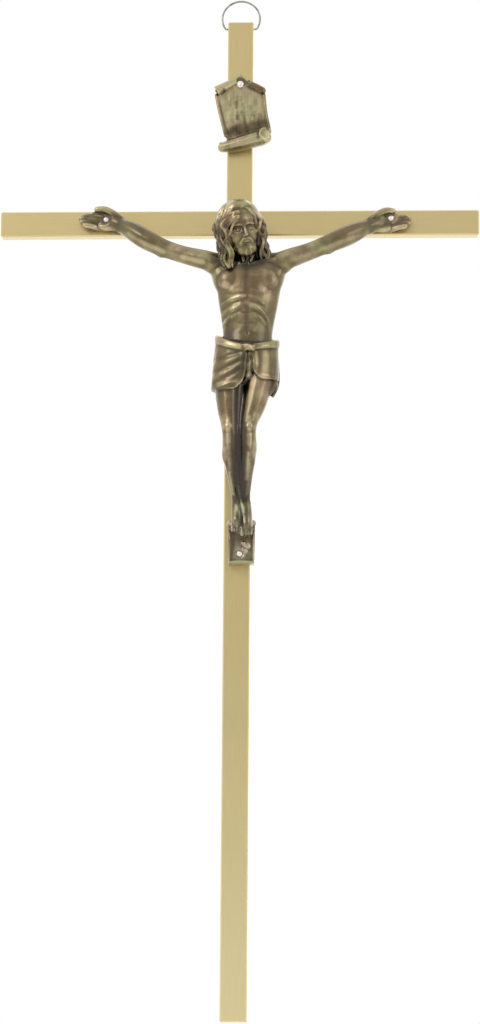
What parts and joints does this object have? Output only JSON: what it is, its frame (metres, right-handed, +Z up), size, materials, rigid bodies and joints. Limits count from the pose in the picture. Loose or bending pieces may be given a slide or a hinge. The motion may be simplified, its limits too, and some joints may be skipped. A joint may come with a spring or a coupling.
{
  "type": "wall crucifix",
  "caption": "Slim wall crucifix: half-lapped flat brass bars, a riveted cast figure on a foot block, a cast scroll above its head and a swinging wire ring at the top to hang it by.",
  "frame": {"origin": "centre of the crossing, on the back face that lies on the wall", "axes": "+Z up along the upright, +Y into the wall, +X to the viewer's right; the figure looks towards -Y"},
  "size_m": [0.12, 0.0183, 0.2564],
  "materials": {
    "satin_brass": "satin, fine drawn grain",
    "ring_wire": "drawn wire, slightly dulled",
    "antique_bronze": "antique bronze, dark in the hollows, rubbed on the high points",
    "bright_rivet": "bright, lightly hammered"
  },
  "bodies": {
    "cross": {"upright_bar": "satin_brass", "cross_bar": "satin_brass", "title_scroll": "antique_bronze", "corpus": "antique_bronze", "left_hand_rivet": "bright_rivet", "right_hand_rivet": "bright_rivet", "foot_rivet": "bright_rivet", "scroll_rivet": "bright_rivet"},
    "ring": {"hanging_ring": "ring_wire"}
  },
  "joints": [
    {"name": "ring_swing", "type": "hinge", "parent": "cross", "child": "ring", "pos_m": [0, -0.0015, 0.0523], "axis": [1, 0, 0], "range_deg": [-156, 156]}
  ]
}
